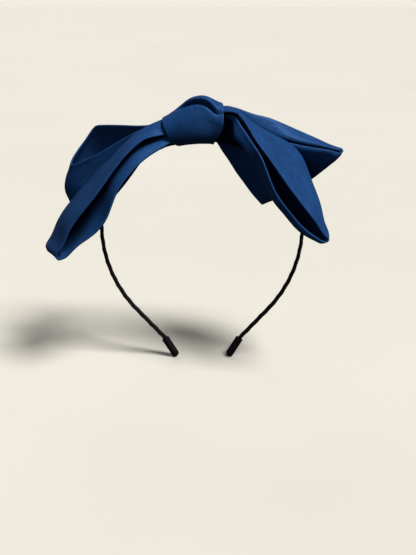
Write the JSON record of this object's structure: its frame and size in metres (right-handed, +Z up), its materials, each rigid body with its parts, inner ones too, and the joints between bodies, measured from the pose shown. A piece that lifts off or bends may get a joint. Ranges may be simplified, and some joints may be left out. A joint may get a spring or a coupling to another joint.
{
  "type": "hair bow headband",
  "caption": "Navy satin double hair bow with a folded knot, fixed off the middle of a slim ribbon-wound spring headband with capped ends.",
  "frame": {"origin": "middle of the crown's underside, where the headband sits on the head", "axes": "+X towards the wearer's left-hand side of the view (ear to ear), +Y to the back of the head, -Y the bow's show side, +Z up, band in the XZ plane"},
  "size_m": [0.176, 0.063, 0.1643],
  "materials": {
    "bow_satin": "satin weave, soft sheen",
    "band_ribbon": "wound satin ribbon",
    "cap_sleeve": "matte",
    "spring_steel": "blued spring strip",
    "sewing_thread": "twisted polyester thread",
    "clear_glue": "set hot-melt glue"
  },
  "bodies": {
    "crown": {"band_core_crown": "spring_steel", "ribbon_wrap_crown": "band_ribbon", "front_bow": "bow_satin", "back_bow": "bow_satin", "knot_wrap": "bow_satin", "waist_thread": "sewing_thread", "glue_pad": "clear_glue", "knot_stitches": "sewing_thread"},
    "left_arm": {"band_core_left_arm": "spring_steel", "ribbon_wrap_left_arm": "band_ribbon", "left_end_cap": "cap_sleeve"},
    "right_arm": {"band_core_right_arm": "spring_steel", "ribbon_wrap_right_arm": "band_ribbon", "right_end_cap": "cap_sleeve"}
  },
  "joints": [
    {"name": "left_arm_flex", "type": "hinge", "parent": "crown", "child": "left_arm", "pos_m": [-0.061, 0, -0.05408], "axis": [0, 1, 0], "range_deg": [-6, 40], "stiffness_Nm_per_rad": 0.3},
    {"name": "right_arm_flex", "type": "hinge", "parent": "crown", "child": "right_arm", "pos_m": [0.061, 0, -0.05408], "axis": [0, -1, 0], "range_deg": [-6, 40], "stiffness_Nm_per_rad": 0.3}
  ]
}
